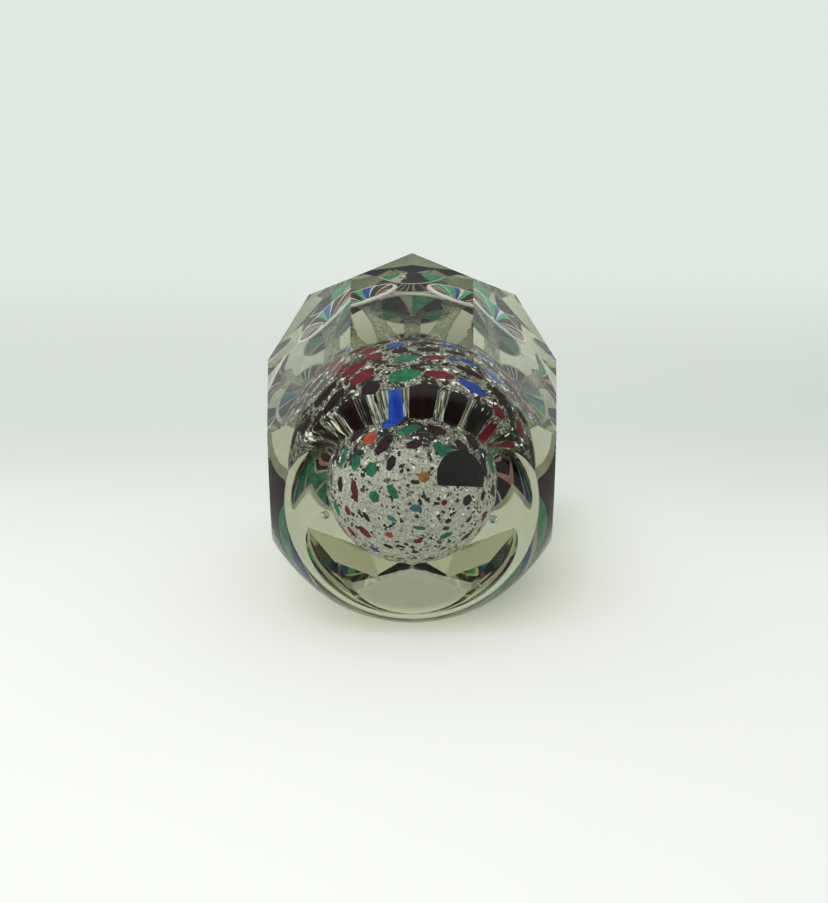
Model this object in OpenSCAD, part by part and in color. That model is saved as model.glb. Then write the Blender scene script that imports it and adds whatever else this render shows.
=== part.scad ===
// Faceted glass paperweight. A clear crystal body, cut with eight tall side windows and a row of
// eight leaning facets above them, encases a mottled ball of coloured chips. Six trumpet flowers
// stand on long drawn stems above the ball: a ring of five and one in the middle.
// The origin is the centre of the flat base and +Z runs up the axis.

/* [Crystal body] */
// overall height
body_h = 77.5; // [65:0.5:95]
// diameter of the flat the weight stands on
base_d = 42; // [36:0.5:56]
// radius of the rounding between the flat and the bowl
rim_round = 6.5; // [2:0.5:8]
// radius of the rounded bowl above the base flat
bowl_r = 34.4; // [28:0.2:42]
// distance from the axis to a side window at bowl height
window_apothem = 29; // [24:0.1:34]
// how far the side windows lean outwards going up, degrees
window_flare = 5.6; // [0:0.1:12]
// height where the ridges between the windows end
ridge_h = 52.5; // [40:0.5:62]
// how far the upper facets lean inwards, degrees
crown_lean = 13.5; // [5:0.5:40]
// slope of the roof facets that meet at the top, degrees
roof_pitch = 20; // [8:0.5:40]
// distance from the axis to a roof facet's lower edge
roof_apothem = 32.7; // [24:0.1:36]
// height of that edge
roof_z = 69.5; // [55:0.5:80]

/* [Mottled ball] */
// outer radius of the ball of chips
ball_r = 18; // [14:0.1:20]
// height of its centre
ball_z = 23.3; // [18:0.1:26]
// thickness of the frit layer
frit_t = 1.8; // [1:0.1:3]
// how deep the coloured chips sit in the frit layer
chip_t = 0.7; // [0.4:0.1:1.2]
// lean of the swirl's pole from straight down, degrees
pole_lean = 22; // [0:1:30]
// direction the pole leans towards, degrees round the axis
pole_turn = 21; // [-180:1:180]

/* [Flowers] */
// number of flowers in the ring
ring_count = 5; // [3:1:7]
// lean of the ring flowers away from the axis, degrees
ring_lean = 28; // [15:1:40]
// further lean of a ring flower's head on its stem, degrees
head_lean = 38; // [0:1:60]
// distance from the ball's centre to a ring flower's throat
ring_reach = 36; // [32:0.5:44]
// distance from the ball's centre to the middle flower's throat
middle_reach = 38; // [34:0.5:46]
// rim radius of a flower
flower_r = 9.2; // [6:0.1:11]
// depth of the trumpet from its rim to its throat
flower_depth = 4.2; // [2:0.1:7]
// radius of a stem where it leaves the ball
stem_r = 2.2; // [1.4:0.1:3]

/* [Hidden] */
$fn = 96;
ball_fn = 240;
ball_bands = 24;
eps = 0.01;
side_count = 8;
side_step = 360 / side_count;
bowl_z = rim_round + sqrt(pow(bowl_r - rim_round, 2) - pow(base_d / 2, 2));
// angle at which the rim rounding runs into the bowl
rim_end = atan2(rim_round - bowl_z, base_d / 2);
window_base_z = 6;
ridge_r = (window_apothem + (ridge_h - window_base_z) * tan(window_flare)) / cos(side_step / 2);
blank_r = ridge_r + 1.5;
petal_t = 1.2;
throat_r = 1.0;
frit_r = ball_r - frit_t;
swirl_rows = 12;
// direction round the pole in which the shards grow larger
large_turn = 117;

// petal stripes of a ring flower, in order round the rim: [colour, width in degrees]
ring_stripes = [
    ["white", 6], ["amethyst", 18], ["pink", 9], ["amethyst", 26], ["green", 14], ["white", 8],
    ["cobalt", 12], ["green", 26], ["white", 5], ["green", 24], ["white", 6], ["amethyst", 12],
    ["pink", 14], ["amethyst", 35], ["pink", 12], ["amethyst", 30], ["white", 5], ["cobalt", 20],
    ["green", 16], ["amethyst", 22], ["white", 6], ["amethyst", 10], ["white", 4],
    ["amethyst", 8], ["white", 4], ["amethyst", 8]
];
// petal stripes of the middle flower
middle_stripes = [
    ["green", 60], ["amethyst", 50], ["white", 20], ["green", 50],
    ["amethyst", 70], ["white", 20], ["green", 40], ["amethyst", 50]
];
// colours that the shards take in turn
shard_colours = ["amethyst", "green", "amethyst", "cobalt", "amethyst", "ruby", "amethyst", "green",
                 "amethyst", "turquoise", "amethyst", "green", "cobalt", "orange", "amethyst", "ruby"];

crystal_tint = [0.86, 0.88, 0.80, 0.35];
frit_tint = [0.72, 0.73, 0.69];
amethyst_tint = [0.16, 0.04, 0.10];
ruby_tint = [0.62, 0.06, 0.14];
green_tint = [0.05, 0.48, 0.34];
cobalt_tint = [0.08, 0.22, 0.72];
turquoise_tint = [0.20, 0.55, 0.62];
orange_tint = [0.85, 0.32, 0.14];
amber_tint = [0.78, 0.50, 0.24];
white_tint = [0.93, 0.92, 0.90];
pink_tint = [0.84, 0.52, 0.58];
stem_tint = [0.62, 0.66, 0.58, 0.8];

// ---- shared shapes ----

// start angle of stripe i in a list of [colour, width]
function stripe_start(list, i) = i == 0 ? 0 : stripe_start(list, i - 1) + list[i - 1][1];

// colour of shard i in a row, well mixed over the ball
function shard_colour(i, row) =
    shard_colours[floor(len(shard_colours) * (0.5 + 0.499 * sin(137 * i * i + 223 * row * (i + 3))))];

// height of the petals' upper face at radius share s, from the throat at 0 out to the rim
function flare(s) = flower_depth * (1 - pow(1 - s, 2.2));

// points of the upper face, offset down by t, from the throat out to the rim
function face_points(t) = [for (i = [0 : 7]) let (s = i / 7)
    [throat_r + (flower_r - throat_r) * s, flare(s) - t]];

// a ball about the mottled ball's centre, turned in narrow bands
module ball(r) {
    translate([0, 0, ball_z]) rotate_extrude($fn = ball_fn)
        polygon([for (i = [0 : ball_bands]) let (a = 180 * i / ball_bands - 90) r * [cos(a), sin(a)]]);
}

// the round blank before cutting: a bowl with straight sides above it
module blank() {
    intersection() {
        union() {
            translate([0, 0, bowl_z]) sphere(r = bowl_r);
            translate([0, 0, bowl_z]) cylinder(r1 = bowl_r, r2 = blank_r, h = ridge_h - bowl_z);
            translate([0, 0, ridge_h - eps]) cylinder(r = blank_r, h = body_h - ridge_h + eps);
        }
        cylinder(r = blank_r + 1, h = body_h);
        rim_limit();
    }
}

// everything inside the rounding between the base flat and the bowl
module rim_limit() {
    run = 150;
    last = base_d / 2 + rim_round * cos(rim_end);
    lift = rim_round * (1 + sin(rim_end));
    rotate_extrude() polygon(concat([[0, 0]],
        [for (i = [0 : 8]) let (a = -90 + (rim_end + 90) * i / 8)
            [base_d / 2 + rim_round * cos(a), rim_round * (1 + sin(a))]],
        [[last - run * sin(rim_end), lift + run * cos(rim_end)], [0, lift + run * cos(rim_end)]]));
}

// everything outside one plane whose foot is at distance d and height z, leaning by a degrees
module cut_plane(d, z, a) {
    translate([0, -d, z]) rotate([a, 0, 0]) translate([-80, -60, -120]) cube([160, 60, 260]);
}

// the cut body with no inclusions
module cut_body() {
    difference() {
        blank();
        for (k = [0 : side_count - 1]) rotate([0, 0, k * side_step]) {
            cut_plane(window_apothem, window_base_z, window_flare);
            rotate([0, 0, side_step / 2]) {
                cut_plane(ridge_r, ridge_h, -crown_lean);
                cut_plane(roof_apothem, roof_z, roof_pitch - 90);
            }
        }
    }
}

// places its children at each ring flower's throat, looking out along the stem
module at_ring() {
    for (k = [0 : ring_count - 1]) rotate([0, 0, (k + 0.5) * 360 / ring_count])
        translate([0, 0, ball_z]) rotate([ring_lean, 0, 0])
            translate([0, 0, ring_reach]) children();
}

// the same, looking out along each ring flower's head
module at_heads() {
    for (k = [0 : ring_count - 1]) rotate([0, 0, (k + 0.5) * 360 / ring_count])
        translate([0, 0, ball_z]) rotate([ring_lean, 0, 0])
            translate([0, 0, ring_reach]) rotate([head_lean, 0, 0])
                rotate([0, 0, 45 * k]) children();
}

module at_middle() {
    translate([0, 0, ball_z + middle_reach]) children();
}

// drawn stem, from just inside the ball up to the throat
module stem(reach) {
    foot = ball_r - reach - 1;
    rotate_extrude() polygon([[0, foot], [stem_r + 0.8, foot], [stem_r, foot + 3],
        [stem_r * 0.8, foot * 0.5], [stem_r, -2.5], [stem_r, -1.6], [0, -1.6]]);
}

// funnel that carries the petals at the throat
module funnel() {
    under = face_points(petal_t);
    rotate_extrude() polygon([[0, -3], [stem_r, -2.6], [2.9, -1.2], under[2], under[1], under[0],
        [0, under[0][1]]]);
}

// outline of the opal roll round a flower's rim
function rim_points() = let (z = flare(1)) [[flower_r, z - petal_t], [flower_r + 0.5, z - petal_t - 0.1],
    [flower_r + 0.8, z - petal_t / 2], [flower_r + 0.5, z + 0.1], [flower_r, z]];

// opal roll round a flower's rim
module rim() {
    rotate_extrude() polygon(rim_points());
}

// one petal stripe, w degrees wide
module petal(w) {
    upper = face_points(0);
    under = face_points(petal_t);
    rotate_extrude(angle = w) polygon(concat(upper, [for (i = [7 : -1 : 0]) under[i]]));
}

// all stripes of one colour
module petals(list, colour) {
    for (i = [0 : len(list) - 1]) if (list[i][0] == colour)
        rotate([0, 0, stripe_start(list, i)]) petal(list[i][1]);
}

// the space one flower head takes in the casing, petals and rim with the air in its throat
module head_space() {
    top = face_points(0);
    under = face_points(petal_t);
    rim = rim_points();
    rotate_extrude() polygon(concat([[0, under[0][1]], [0, top[0][1]]], top,
        [rim[3], rim[2], rim[1]], [for (i = [7 : -1 : 0]) under[i]]));
}

// turns +Z to the swirl's pole on the underside of the ball
module at_pole() {
    translate([0, 0, ball_z]) rotate([0, 0, pole_turn]) rotate([180 - pole_lean, 0, 0]) children();
}

// one angular shard, as a prism through the ball's skin, at polar angle p and turn q
module shard(l, w, p, q, twist) {
    rotate([0, 0, q]) rotate([0, p, 0]) rotate([0, 0, twist])
        translate([0, 0, ball_r - chip_t]) linear_extrude(chip_t + 1.5)
            polygon([[-l / 2, -w * 0.2], [-l * 0.15, -w / 2], [l * 0.4, -w * 0.35],
                     [l / 2, w * 0.15], [l * 0.05, w / 2], [-l * 0.4, w * 0.3]]);
}

// rows of shards that wind round the swirl's pole, larger towards one side of it
module shard_prisms(colour) {
    at_pole() for (row = [1 : swirl_rows]) let (p = 10 + 13 * row, n = round(19 * sin(p)))
        for (i = [0 : n - 1]) if (shard_colour(i, row) == colour) let (
            q = (i + 0.4 * row) * 360 / n,
            slot = (i * 5 + row * 7) % 12,
            grow = (1 + 0.45 * cos(q - large_turn)) * (slot < 10 && slot % 2 == 0 ? 1.25 : 1))
            shard(min(5.4, grow * (3.3 + sin(97 * i + 40 * row))),
                  min(3.4, grow * (2.0 + 0.5 * cos(71 * i + row))),
                  p + 0.8 * sin(55 * i), q, 90 + 6 * sin(31 * i));
}

// the great dark chip, a disc cut straight along one edge
module great_prism() {
    at_pole() rotate([0, 0, 20]) rotate([0, 28, 0]) translate([0, 0, ball_r - chip_t - 0.4])
        linear_extrude(3) intersection() {
            circle(r = 6, $fn = 16);
            translate([-7, -1.8]) square([14, 14]);
        }
}

module pontil_prism() {
    at_pole() translate([0, 0, ball_r - chip_t]) cylinder(r = 1.3, h = 2.2, $fn = 6);
}

module chips(colour) {
    intersection() {
        ball(ball_r);
        difference() {
            shard_prisms(colour);
            great_prism();
        }
    }
}

// ---- the parts ----

module crystal_casing() {
    color(crystal_tint) difference() {
        cut_body();
        ball(ball_r);
        ring_stem_blanks();
        middle_stem_blank();
        at_heads() head_space();
        at_middle() head_space();
    }
}

module clear_core() {
    color(crystal_tint) ball(frit_r);
}

module frit_ground() {
    color(frit_tint) difference() {
        ball(ball_r);
        ball(frit_r);
        for (c = ["amethyst", "green", "ruby", "cobalt", "turquoise", "orange"]) shard_prisms(c);
        great_prism();
        pontil_prism();
    }
}

module pontil_chip() {
    color(amber_tint) intersection() {
        ball(ball_r);
        pontil_prism();
    }
}

module great_chip() {
    color(amethyst_tint) intersection() {
        ball(ball_r);
        great_prism();
    }
}

module amethyst_chips() { color(amethyst_tint) chips("amethyst"); }
module green_chips() { color(green_tint) chips("green"); }
module ruby_chips() { color(ruby_tint) chips("ruby"); }
module cobalt_chips() { color(cobalt_tint) chips("cobalt"); }
module turquoise_chips() { color(turquoise_tint) chips("turquoise"); }
module orange_chips() { color(orange_tint) chips("orange"); }

module ring_stem_blanks() {
    at_ring() stem(ring_reach);
    at_heads() funnel();
}

module middle_stem_blank() {
    at_middle() {
        stem(middle_reach);
        funnel();
    }
}

module ring_stems() {
    color(stem_tint) difference() {
        ring_stem_blanks();
        at_heads() head_space();
        ball(ball_r);
    }
}

module middle_stem() {
    color(stem_tint) difference() {
        middle_stem_blank();
        at_middle() head_space();
        ball(ball_r);
    }
}

module ring_rims() { color(white_tint) at_heads() rim(); }
module ring_petals_amethyst() { color(amethyst_tint) at_heads() petals(ring_stripes, "amethyst"); }
module ring_petals_white() { color(white_tint) at_heads() petals(ring_stripes, "white"); }
module ring_petals_green() { color(green_tint) at_heads() petals(ring_stripes, "green"); }
module ring_petals_cobalt() { color(cobalt_tint) at_heads() petals(ring_stripes, "cobalt"); }
module ring_petals_pink() { color(pink_tint) at_heads() petals(ring_stripes, "pink"); }

module middle_rim() { color(white_tint) at_middle() rim(); }
module middle_petals_amethyst() {
    color(amethyst_tint) at_middle() petals(middle_stripes, "amethyst");
}
module middle_petals_white() { color(white_tint) at_middle() petals(middle_stripes, "white"); }
module middle_petals_green() { color(green_tint) at_middle() petals(middle_stripes, "green"); }

crystal_casing();
clear_core();
frit_ground();
pontil_chip();
great_chip();
amethyst_chips();
green_chips();
ruby_chips();
cobalt_chips();
turquoise_chips();
orange_chips();
ring_stems();
ring_rims();
ring_petals_amethyst();
ring_petals_white();
ring_petals_green();
ring_petals_cobalt();
ring_petals_pink();
middle_stem();
middle_rim();
middle_petals_amethyst();
middle_petals_white();
middle_petals_green();
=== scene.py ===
import bpy
import bmesh
import math
from mathutils import Matrix, Vector


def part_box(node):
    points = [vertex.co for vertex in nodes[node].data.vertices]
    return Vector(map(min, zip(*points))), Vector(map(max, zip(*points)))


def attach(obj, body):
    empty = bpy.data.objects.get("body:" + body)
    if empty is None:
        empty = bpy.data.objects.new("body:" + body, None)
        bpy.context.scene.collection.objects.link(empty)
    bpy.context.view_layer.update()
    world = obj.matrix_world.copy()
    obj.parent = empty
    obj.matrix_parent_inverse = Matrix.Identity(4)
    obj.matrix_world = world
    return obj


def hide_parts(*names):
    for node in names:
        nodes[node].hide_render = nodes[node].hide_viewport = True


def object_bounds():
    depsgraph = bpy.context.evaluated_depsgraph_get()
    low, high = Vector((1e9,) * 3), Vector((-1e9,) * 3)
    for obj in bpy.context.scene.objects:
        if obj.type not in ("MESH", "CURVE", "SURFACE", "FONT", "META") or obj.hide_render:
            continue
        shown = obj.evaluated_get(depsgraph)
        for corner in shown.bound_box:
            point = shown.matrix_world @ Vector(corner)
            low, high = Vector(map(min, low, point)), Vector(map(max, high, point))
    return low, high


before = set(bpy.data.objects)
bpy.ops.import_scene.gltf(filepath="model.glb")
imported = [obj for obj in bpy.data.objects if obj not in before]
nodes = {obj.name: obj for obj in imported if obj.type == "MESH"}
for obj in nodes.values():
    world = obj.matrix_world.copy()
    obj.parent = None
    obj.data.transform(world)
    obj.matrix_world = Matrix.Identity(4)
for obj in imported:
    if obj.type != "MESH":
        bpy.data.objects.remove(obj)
cad_lo, cad_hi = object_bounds()
MM = 0.001

# ---------------------------------------------------------------- body sizes
BODY_H = cad_hi.z
BASE_R = 21 * MM
RIM_R = 6.5 * MM
BOWL_R = 34.4 * MM
SIDES = 8
WINDOW_APOTHEM = 29 * MM
WINDOW_Z = 6 * MM
WINDOW_FLARE = math.radians(5.6)
RIDGE_Z = 52.5 * MM
CROWN_LEAN = math.radians(13.5)
ROOF_APOTHEM = 32.7 * MM
ROOF_Z = 69.5 * MM
ROOF_LEAN = math.radians(70)
BLANK_SPARE = 1.5 * MM
TURN_STEPS, RIM_STEPS, BOWL_STEPS = 192, 24, 32
SHARP_ANGLE = math.radians(20)
# how near a face has to be to a cut's plane, and how well it has to face along it, to be that facet
FACET_GAP, FACET_ALIGN = 1e-6, 0.999
CUT_GAP = 1e-8
BALL_Z = (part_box("frit_ground")[0].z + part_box("frit_ground")[1].z) / 2
RIDGE_R = (WINDOW_APOTHEM + (RIDGE_Z - WINDOW_Z) * math.tan(WINDOW_FLARE)) / math.cos(math.pi / SIDES)
BLANK_R = RIDGE_R + BLANK_SPARE

# ---------------------------------------------------------------- glass
GLASS_IOR = 1.52
BUBBLE_IOR = 0.658
GLASS_TINT, GLASS_DENSITY = (0.56, 0.555, 0.33, 1.0), 13.0


# ---------------------------------------------------------------- node helpers
def new_material(name):
    """An empty node material, its tree and its output node."""
    mat = bpy.data.materials.new(name)
    mat.use_nodes = True
    nt = mat.node_tree
    nt.nodes.clear()
    out = nt.nodes.new("ShaderNodeOutputMaterial")
    return mat, nt, out


def add(nt, kind, inputs=None, **props):
    """A node of one kind, with its inputs linked or set."""
    n = nt.nodes.new(kind)
    for k, v in props.items():
        setattr(n, k, v)
    for k, v in (inputs or {}).items():
        if isinstance(v, bpy.types.NodeSocket):
            nt.links.new(v, n.inputs[k])
        else:
            n.inputs[k].default_value = v
    return n


def ramp(nt, fac, stops, interp="LINEAR"):
    """The colour output of a ramp through (position, colour) stops."""
    n = add(nt, "ShaderNodeValToRGB", {"Fac": fac})
    n.color_ramp.interpolation = interp
    els = n.color_ramp.elements
    while len(els) > 1:
        els.remove(els[-1])
    els[0].position, els[0].color = stops[0]
    for p, c in stops[1:]:
        els.new(p).color = c
    return n.outputs["Color"]


def blend(nt, factor, a, b, kind="MIX"):
    """The colour output of a mix of a and b."""
    n = add(nt, "ShaderNodeMix", {"Factor": factor, "A": a, "B": b}, data_type="RGBA", blend_type=kind)
    return n.outputs[2]


def mix_shaders(nt, factor, a, b):
    return add(nt, "ShaderNodeMixShader", {"Fac": factor, 1: a.outputs[0], 2: b.outputs[0]})


def smooth(nt, value, low, high):
    """0 at low and 1 at high, eased at both ends."""
    n = add(nt, "ShaderNodeMapRange", {"Value": value, "From Min": low, "From Max": high},
            interpolation_type="SMOOTHSTEP")
    return n.outputs[0]


def rgb(r, g, b):
    return (r, g, b, 1.0)


BLACK, WHITE = rgb(0, 0, 0), rgb(1, 1, 1)
FRIT_FADE = 12 * MM


# ---------------------------------------------------------------- materials
def glass_material():
    """Clear crystal with an olive cast, which lets light through to what it encases."""
    mat, nt, out = new_material("crystal_glass")
    glass = add(nt, "ShaderNodeBsdfGlass",
                {"Color": rgb(0.985, 0.99, 0.975), "Roughness": 0.0, "IOR": GLASS_IOR})
    clear = add(nt, "ShaderNodeBsdfTransparent", {"Color": rgb(0.93, 0.94, 0.90)})
    path = add(nt, "ShaderNodeLightPath")
    either = add(nt, "ShaderNodeMath", {0: path.outputs["Is Shadow Ray"], 1: path.outputs["Is Diffuse Ray"]},
                 operation="MAXIMUM")
    mix = mix_shaders(nt, either.outputs[0], glass, clear)
    vol = add(nt, "ShaderNodeVolumeAbsorption", {"Color": GLASS_TINT, "Density": GLASS_DENSITY})
    nt.links.new(mix.outputs[0], out.inputs["Surface"])
    nt.links.new(vol.outputs[0], out.inputs["Volume"])
    return mat


def chip_material(name, colour, dark):
    """Opaque coloured glass, clouded with a darker shade."""
    mat, nt, out = new_material(name)
    co = add(nt, "ShaderNodeTexCoord").outputs["Object"]
    cloud = add(nt, "ShaderNodeTexNoise", {"Vector": co, "Scale": 300.0, "Detail": 4.0, "Distortion": 1.6})
    col = ramp(nt, cloud.outputs["Fac"], [(0.3, dark), (0.7, colour)])
    bump = add(nt, "ShaderNodeBump", {"Height": cloud.outputs["Fac"], "Strength": 0.4, "Distance": 0.0004})
    bsdf = add(nt, "ShaderNodeBsdfPrincipled", {"Base Color": col, "Roughness": 0.35,
               "Specular IOR Level": 0.12, "Normal": bump.outputs[0]})
    nt.links.new(bsdf.outputs[0], out.inputs["Surface"])
    return mat


def frit_material():
    """Crushed pale glass full of air, with black specks. It turns darker upwards, and there small spots glow
    as painted glints.
    """
    mat, nt, out = new_material("silver_frit")
    co = add(nt, "ShaderNodeTexCoord").outputs["Object"]
    grain = add(nt, "ShaderNodeTexVoronoi", {"Vector": co, "Scale": 4200.0, "Randomness": 1.0})
    specks = add(nt, "ShaderNodeTexVoronoi", {"Vector": co, "Scale": 1300.0, "Randomness": 1.0})
    flakes = add(nt, "ShaderNodeTexVoronoi", {"Vector": co, "Scale": 1700.0, "Randomness": 1.0})
    drift = add(nt, "ShaderNodeTexNoise", {"Vector": co, "Scale": 240.0, "Detail": 6.0, "Roughness": 0.7})

    # how far a place belongs to the darker side of the ball
    place = add(nt, "ShaderNodeSeparateXYZ", {"Vector": co})
    side = add(nt, "ShaderNodeMath", {0: place.outputs["Y"], 1: -1.0, 2: place.outputs["Z"]},
               operation="MULTIPLY_ADD")
    top = add(nt, "ShaderNodeMapRange", {"Value": side.outputs[0], "From Min": BALL_Z - FRIT_FADE,
              "From Max": BALL_Z + FRIT_FADE})
    mixed = add(nt, "ShaderNodeMath", {0: drift.outputs["Fac"], 1: top.outputs[0]}, operation="ADD")
    share = ramp(nt, mixed.outputs[0], [(0.80, BLACK), (1.15, WHITE)])

    # pale and dark grain, black specks and black patches
    pale = ramp(nt, grain.outputs["Color"], [(0.0, rgb(0.30, 0.30, 0.28)), (0.5, rgb(0.76, 0.76, 0.73)),
                (1.0, rgb(0.98, 0.98, 0.96))])
    deep = ramp(nt, grain.outputs["Color"], [(0.0, rgb(0.01, 0.01, 0.008)), (0.40, rgb(0.16, 0.16, 0.14)),
                (0.70, rgb(0.55, 0.55, 0.51)), (1.0, rgb(0.97, 0.98, 0.94))])
    dark = ramp(nt, specks.outputs["Color"], [(0.0, WHITE), (0.20, WHITE), (0.22, BLACK)])
    patch = ramp(nt, drift.outputs["Fac"], [(0.535, BLACK), (0.56, WHITE)])
    patched = add(nt, "ShaderNodeMath", {0: patch, 1: share}, operation="MULTIPLY")
    tone = blend(nt, dark, blend(nt, share, pale, deep), rgb(0.012, 0.010, 0.010))
    tone = blend(nt, patched.outputs[0], tone, rgb(0.014, 0.008, 0.008))
    body = add(nt, "ShaderNodeBsdfPrincipled", {"Base Color": tone, "Roughness": 0.5})

    # bright flakes, each leaning its own way, and glowing spots on the darker side as painted glints
    tilt = add(nt, "ShaderNodeVectorMath", {0: flakes.outputs["Color"], 1: (0.5, 0.5, 0.5)},
               operation="SUBTRACT")
    face = add(nt, "ShaderNodeNewGeometry")
    lean = add(nt, "ShaderNodeVectorMath",
               {0: tilt.outputs[0], 1: (1.3, 1.3, 1.3), 2: face.outputs["Normal"]}, operation="MULTIPLY_ADD")
    facet = add(nt, "ShaderNodeVectorMath", {0: lean.outputs[0]}, operation="NORMALIZE")
    flake = add(nt, "ShaderNodeBsdfPrincipled", {"Base Color": rgb(0.98, 0.98, 0.96), "Roughness": 0.12,
                "Metallic": 1.0, "Normal": facet.outputs[0]})
    # painted glints: an emission that makes small spots glow like sparkle of light
    painted_glint = add(nt, "ShaderNodeEmission", {"Color": rgb(1.0, 1.0, 0.97), "Strength": 0.9})
    glint = ramp(nt, flakes.outputs["Color"], [(0.74, BLACK), (0.76, WHITE)], "CONSTANT")
    painted_glint_spots = ramp(nt, flakes.outputs["Color"], [(0.86, BLACK), (0.88, WHITE)], "CONSTANT")
    painted_glints_above = add(nt, "ShaderNodeMath", {0: painted_glint_spots, 1: share}, operation="MULTIPLY")
    mix = mix_shaders(nt, painted_glints_above.outputs[0], mix_shaders(nt, glint, body, flake), painted_glint)
    nt.links.new(mix.outputs[0], out.inputs["Surface"])
    return mat


def stem_material():
    """Grey glass, half clear, seeded with fine bubbles."""
    mat, nt, out = new_material("seeded_stem")
    co = add(nt, "ShaderNodeTexCoord").outputs["Object"]
    seeds = add(nt, "ShaderNodeTexVoronoi", {"Vector": co, "Scale": 1400.0, "Randomness": 1.0})
    cloud = add(nt, "ShaderNodeTexNoise", {"Vector": co, "Scale": 260.0, "Detail": 3.0})
    tone = ramp(nt, seeds.outputs["Distance"], [(0.0, rgb(0.95, 0.96, 0.92)), (0.3, rgb(0.68, 0.69, 0.64)),
                (0.7, rgb(0.28, 0.28, 0.25))])
    body = add(nt, "ShaderNodeBsdfPrincipled", {"Base Color": tone, "Roughness": 0.4})
    clear = add(nt, "ShaderNodeBsdfTransparent", {"Color": rgb(0.86, 0.88, 0.80)})
    see = ramp(nt, cloud.outputs["Fac"], [(0.4, rgb(0.40, 0.40, 0.40)), (0.6, rgb(0.88, 0.88, 0.88))])
    mix = mix_shaders(nt, see, body, clear)
    nt.links.new(mix.outputs[0], out.inputs["Surface"])
    return mat


def floor_material(near, far_shade):
    """Near-white, with painted shade that makes it darker and greener with distance, then a painted glow of
    the room's colour, a painted shadow in front, and clear from below, so no view is blocked.
    """
    mat, nt, out = new_material("floor_card")
    face = add(nt, "ShaderNodeNewGeometry")
    co = add(nt, "ShaderNodeTexCoord").outputs["Object"]
    away = add(nt, "ShaderNodeSeparateXYZ", {"Vector": co}).outputs["Z"]
    cloth = add(nt, "ShaderNodeTexNoise", {"Vector": co, "Scale": 14.0, "Detail": 3.0})
    # painted shadow: the floor in front of the weight, toward the camera, turns near black, so it shows dark
    # in the glass
    front_shadow = add(nt, "ShaderNodeMapRange", {"Value": away, "From Min": FRONT_SHADOW_FROM, "From Max": FRONT_SHADOW_TO})
    # painted shade: the floor turns from the near colour to the darker, greener far colour with distance
    base = blend(nt, smooth(nt, away, SHADE_FROM, SHADE_TO), near, far_shade)
    base = blend(nt, front_shadow.outputs[0], base, FLOOR_FRONT_SHADOW)
    shade = ramp(nt, cloth.outputs["Fac"], [(0.3, rgb(0.985, 0.985, 0.985)), (0.7, WHITE)])
    white = add(nt, "ShaderNodeBsdfDiffuse", {"Color": blend(nt, 1.0, base, shade, "MULTIPLY")})
    # painted glow: far off, the floor emits the room's low colour in place of being lit, so it fades into
    # the room
    far_glow = add(nt, "ShaderNodeEmission", {"Color": ROOM_LOW, "Strength": 1.0})
    lit = mix_shaders(nt, smooth(nt, away, GLOW_FROM, GLOW_TO), white, far_glow)
    clear = add(nt, "ShaderNodeBsdfTransparent")
    mix = mix_shaders(nt, face.outputs["Backfacing"], lit, clear)
    nt.links.new(mix.outputs[0], out.inputs["Surface"])
    return mat


def bubble_material():
    """Air inside glass, so the index is that of air over glass."""
    mat, nt, out = new_material("air_bubble")
    co = add(nt, "ShaderNodeTexCoord").outputs["Object"]
    film = add(nt, "ShaderNodeTexNoise", {"Vector": co, "Scale": 300.0, "Detail": 2.0})
    tint = ramp(nt, film.outputs["Fac"], [(0.3, rgb(0.95, 0.96, 0.93)), (0.7, WHITE)])
    air = add(nt, "ShaderNodeBsdfGlass", {"Color": tint, "Roughness": 0.0, "IOR": BUBBLE_IOR})
    nt.links.new(air.outputs[0], out.inputs["Surface"])
    return mat


# ---------------------------------------------------------------- stage values
CAMERA_TILT = math.radians(23.6)
# the camera stands back along its own axis, which passes right of and above the base's centre
CAMERA_BACK, CAMERA_RIGHT, CAMERA_ABOVE = 260 * MM, 0.44 * MM, 12.52 * MM
CAMERA_SENSOR, CAMERA_LENS = 36.0, 51.82724
LYING_SIZE, STANDING_SIZE = 30.0, 6.0
LYING_GAP, STANDING_GAP = 0.03 * MM, 0.3 * MM
# near-white floor; the far colour is painted shade, darker and greener; the front colour is a painted
# shadow, near black
FLOOR_NEAR, FLOOR_FAR_SHADE, FLOOR_FRONT_SHADOW = rgb(0.915, 0.91, 0.91), rgb(0.77, 0.80, 0.775), rgb(0.05, 0.05, 0.05)
ROOM_LOW, ROOM_HIGH = rgb(0.80, 0.85, 0.81), rgb(0.58, 0.61, 0.58)
ROOM_DARK, ROOM_ABOVE = rgb(0.08, 0.09, 0.08), rgb(1.0, 1.03, 1.0)
# where the floor's painted shade, painted glow and painted front shadow begin and end, in metres along the
# base's axis
SHADE_FROM, SHADE_TO = 0.02, 0.16
GLOW_FROM, GLOW_TO = 0.08, 0.45
FRONT_SHADOW_FROM, FRONT_SHADOW_TO = -0.088, -0.1
# where the room changes, as parts of a view direction
WALL_FROM, WALL_TO = -0.22, -0.45
DARK_FROM, DARK_TO = 0.2, -0.7
ABOVE_FROM, ABOVE_TO = -0.60, -0.95
LIGHT_AT, LIGHT_TARGET = (-0.2, -0.7, -0.2), (0, 0, 0.04)
LIGHT_SIZE, LIGHT_WATTS, LIGHT_COLOUR = 0.45, 2.6, (1.0, 1.0, 0.98)
VIEW_GAMMA = 0.78


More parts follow.
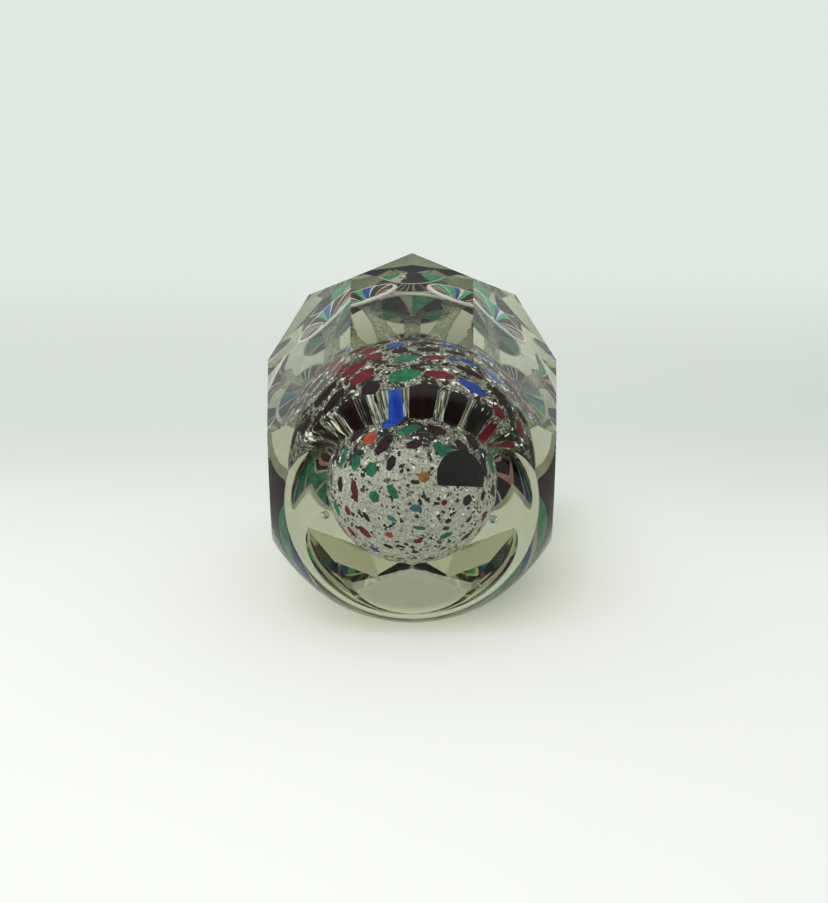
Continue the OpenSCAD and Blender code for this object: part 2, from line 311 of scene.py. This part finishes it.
# ---------------------------------------------------------------- crystal
def body_profile():
    """Half outline of the uncut round blank, from the base's centre up to the middle of its top."""
    bowl_z = RIM_R + math.sqrt((BOWL_R - RIM_R) ** 2 - BASE_R ** 2)
    rim_end = math.atan2(RIM_R - bowl_z, BASE_R)
    pts = [(0.0, 0.0), (BASE_R, 0.0)]
    for i in range(1, RIM_STEPS + 1):
        a = -math.pi / 2 + (rim_end + math.pi / 2) * i / RIM_STEPS
        pts.append((BASE_R + RIM_R * math.cos(a), RIM_R + RIM_R * math.sin(a)))
    for i in range(1, BOWL_STEPS + 1):
        a = rim_end * (1 - i / BOWL_STEPS)
        pts.append((BOWL_R * math.cos(a), bowl_z + BOWL_R * math.sin(a)))
    pts += [(BLANK_R, RIDGE_Z), (BLANK_R, BODY_H), (0.0, BODY_H)]
    return pts


def flat_planes():
    """A foot point and an outward normal for every cut facet."""
    flats = []
    for k in range(SIDES):
        for turn, dist, z, lean in ((0.0, WINDOW_APOTHEM, WINDOW_Z, WINDOW_FLARE),
                                    (0.5, RIDGE_R, RIDGE_Z, -CROWN_LEAN),
                                    (0.5, ROOF_APOTHEM, ROOF_Z, -ROOF_LEAN)):
            a = 2 * math.pi * (k + turn) / SIDES
            radial = Vector((math.sin(a), -math.cos(a), 0))
            normal = radial * math.cos(lean) - Vector((0, 0, 1)) * math.sin(lean)
            flats.append((radial * dist + Vector((0, 0, z)), normal))
    return flats


def turned_blank(bm):
    """Revolves the profile; the base and the top are single faces."""
    rings = []
    for r, z in body_profile()[1:-1]:
        angles = [2 * math.pi * k / TURN_STEPS for k in range(TURN_STEPS)]
        rings.append([bm.verts.new((r * math.cos(a), r * math.sin(a), z)) for a in angles])
    bm.faces.new(list(reversed(rings[0])))
    for a, b in zip(rings[:-1], rings[1:]):
        for k in range(TURN_STEPS):
            nxt = (k + 1) % TURN_STEPS
            bm.faces.new((a[k], a[nxt], b[nxt], b[k]))
    bm.faces.new(rings[-1])


def mark_smooth(bm, planes):
    """Smooth curved faces, flat facets, and sharp edges round the facets."""
    for f in bm.faces:
        middle = f.calc_center_median()
        flat = any(abs((middle - p).dot(n)) < FACET_GAP and f.normal.dot(n) > FACET_ALIGN for p, n in planes)
        f.smooth = not flat
        if flat:
            for e in f.edges:
                e.smooth = False
    for e in bm.edges:
        if len(e.link_faces) == 2 and e.calc_face_angle(0) > SHARP_ANGLE:
            e.smooth = False


def new_object(name, bm, material):
    me = bpy.data.meshes.new(name)
    bm.to_mesh(me)
    bm.free()
    ob = bpy.data.objects.new(name, me)
    bpy.context.scene.collection.objects.link(ob)
    ob.data.materials.append(material)
    return ob


def crystal_body():
    """The cut crystal as one solid piece of glass, without the cavities of the casing."""
    bm = bmesh.new()
    turned_blank(bm)
    flats = flat_planes()
    for foot, normal in flats:
        res = bmesh.ops.bisect_plane(bm, geom=bm.verts[:] + bm.edges[:] + bm.faces[:], dist=CUT_GAP,
                                     plane_co=foot, plane_no=normal, clear_outer=True)
        edges = [e for e in res["geom_cut"] if isinstance(e, bmesh.types.BMEdge)]
        bmesh.ops.contextual_create(bm, geom=edges)
    bmesh.ops.recalc_face_normals(bm, faces=bm.faces)
    ends = [(Vector((0, 0, 0)), Vector((0, 0, -1))), (Vector((0, 0, BODY_H)), Vector((0, 0, 1)))]
    mark_smooth(bm, flats + ends)
    return new_object("crystal_body", bm, glass_material())


crystal = crystal_body()
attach(crystal, "root")
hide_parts("crystal_casing", "clear_core")


def air_bubble(name, centre, radius, material):
    bm = bmesh.new()
    bmesh.ops.create_uvsphere(bm, u_segments=24, v_segments=16, radius=radius)
    bmesh.ops.translate(bm, verts=bm.verts, vec=centre)
    for f in bm.faces:
        f.smooth = True
    bubble = new_object(name, bm, material)
    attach(bubble, "root")


# stray air bubbles in the clear glass: x, y, z and radius, in mm
BUBBLES = ((-17.6, 2.0, 6.0, 0.9), (16.6, 3.0, 6.0, 0.9), (-2.0, -24.0, 62.0, 0.8), (22.0, -17.0, 40.0, 0.5),
           (14.0, 19.0, 9.0, 0.3), (-6.0, -20.5, 8.0, 0.3), (-20.0, 12.0, 50.0, 0.4), (9.0, 13.0, 66.0, 0.5))
air = bubble_material()
for i, (x, y, z, r) in enumerate(BUBBLES):
    air_bubble(f"bubble_{i}", (x * MM, y * MM, z * MM), r * MM, air)

# ---------------------------------------------------------------- enclosed pieces
# the first key that a node's name holds gives its material
paint = {
    "frit_ground": frit_material(),
    "green_chips": chip_material("deep_green", rgb(0.03, 0.36, 0.22), rgb(0.005, 0.12, 0.07)),
    "amethyst": chip_material("amethyst", rgb(0.055, 0.006, 0.016), rgb(0.006, 0.002, 0.004)),
    "white": chip_material("opal", rgb(0.96, 0.95, 0.92), rgb(0.80, 0.77, 0.74)),
    "green": chip_material("green", rgb(0.20, 0.74, 0.52), rgb(0.01, 0.30, 0.17)),
    "cobalt": chip_material("cobalt", rgb(0.04, 0.16, 0.75), rgb(0.01, 0.05, 0.42)),
    "pink": chip_material("pink", rgb(0.90, 0.58, 0.60), rgb(0.62, 0.26, 0.30)),
    "ruby": chip_material("ruby", rgb(0.36, 0.012, 0.05), rgb(0.12, 0.004, 0.015)),
    "turquoise": chip_material("turquoise", rgb(0.08, 0.42, 0.46), rgb(0.04, 0.2, 0.25)),
    "orange": chip_material("orange", rgb(0.75, 0.16, 0.04), rgb(0.45, 0.07, 0.03)),
    "pontil": chip_material("amber", rgb(0.60, 0.30, 0.08), rgb(0.35, 0.16, 0.05)),
    "stem": stem_material(),
    "rim": chip_material("rim", rgb(0.98, 0.96, 0.94), rgb(0.84, 0.78, 0.78)),
    "great": chip_material("great", rgb(0.004, 0.001, 0.002), rgb(0.001, 0.001, 0.001)),
}
for name, ob in nodes.items():
    if name in ("crystal_casing", "clear_core"):
        continue
    key = next(k for k in paint if k in name)
    ob.data.materials.clear()
    ob.data.materials.append(paint[key])


# ---------------------------------------------------------------- stage
def aim_camera():
    sa, ca = math.sin(CAMERA_TILT), math.cos(CAMERA_TILT)
    right, up, ahead = Vector((1, 0, 0)), Vector((0, -ca, sa)), Vector((0, sa, ca))
    cam = bpy.data.cameras.new("camera")
    cam.sensor_width = CAMERA_SENSOR
    cam.lens = CAMERA_LENS
    cam.clip_start, cam.clip_end = 0.01, 60.0
    ob = bpy.data.objects.new("camera", cam)
    bpy.context.scene.collection.objects.link(ob)
    m = Matrix((right, up, -ahead)).transposed().to_4x4()
    m.translation = right * CAMERA_RIGHT + up * CAMERA_ABOVE - ahead * CAMERA_BACK
    ob.matrix_world = m
    bpy.context.scene.camera = ob


def card(name, centre, normal, size, near, far_shade, **hide):
    """A one-sided floor card."""
    z = normal.normalized()
    x = Vector((1, 0, 0))
    y = z.cross(x)
    s = size / 2
    me = bpy.data.meshes.new(name)
    me.from_pydata([centre + x * s * i + y * s * j for i, j in ((-1, -1), (1, -1), (1, 1), (-1, 1))], [],
                   [(0, 1, 2, 3)])
    ob = bpy.data.objects.new(name, me)
    bpy.context.scene.collection.objects.link(ob)
    ob.data.materials.append(floor_material(near, far_shade))
    for k, v in hide.items():
        setattr(ob, k, v)


def light_room():
    """A pale room: darker behind the camera, brightest straight above the lying weight."""
    world = bpy.data.worlds.new("studio")
    bpy.context.scene.world = world
    world.use_nodes = True
    nt = world.node_tree
    bg = nt.nodes["Background"]
    ray = add(nt, "ShaderNodeSeparateXYZ", {"Vector": add(nt, "ShaderNodeTexCoord").outputs["Generated"]})
    wall = blend(nt, smooth(nt, ray.outputs["Y"], WALL_FROM, WALL_TO), ROOM_LOW, ROOM_HIGH)
    room = blend(nt, smooth(nt, ray.outputs["Z"], DARK_FROM, DARK_TO), wall, ROOM_DARK)
    sky = blend(nt, smooth(nt, ray.outputs["Y"], ABOVE_FROM, ABOVE_TO), room, ROOM_ABOVE)
    nt.links.new(sky, bg.inputs["Color"])
    bg.inputs["Strength"].default_value = 1.0


def soft_light(name, where, target, size, watts, colour):
    light = bpy.data.lights.new(name, "AREA")
    light.shape, light.size, light.energy, light.color = "DISK", size, watts, colour
    ob = bpy.data.objects.new(name, light)
    bpy.context.scene.collection.objects.link(ob)
    ob.location = where
    ob.rotation_mode = "QUATERNION"
    ob.rotation_quaternion = (Vector(target) - Vector(where)).to_track_quat("-Z", "Y")
    ob.visible_transmission = ob.visible_glossy = False


# the weight lies on its window at +Y; the second card is a floor that only the camera sees, under the base
up_lying = Vector((0, -math.cos(WINDOW_FLARE), math.sin(WINDOW_FLARE)))
foot = Vector((0, WINDOW_APOTHEM, WINDOW_Z)) - up_lying * LYING_GAP
card("floor_lying", foot, up_lying, LYING_SIZE, FLOOR_NEAR, FLOOR_FAR_SHADE)
under = Vector((0, 0, -STANDING_GAP))
card("floor_standing", under, Vector((0, 0, 1)), STANDING_SIZE, FLOOR_NEAR, FLOOR_NEAR,
     visible_diffuse=False, visible_glossy=False, visible_transmission=False,
     visible_volume_scatter=False, visible_shadow=False)

light_room()
soft_light("overhead", LIGHT_AT, LIGHT_TARGET, LIGHT_SIZE, LIGHT_WATTS, LIGHT_COLOUR)
aim_camera()
bpy.context.scene.view_settings.view_transform = "Standard"
bpy.context.scene.view_settings.gamma = VIEW_GAMMA
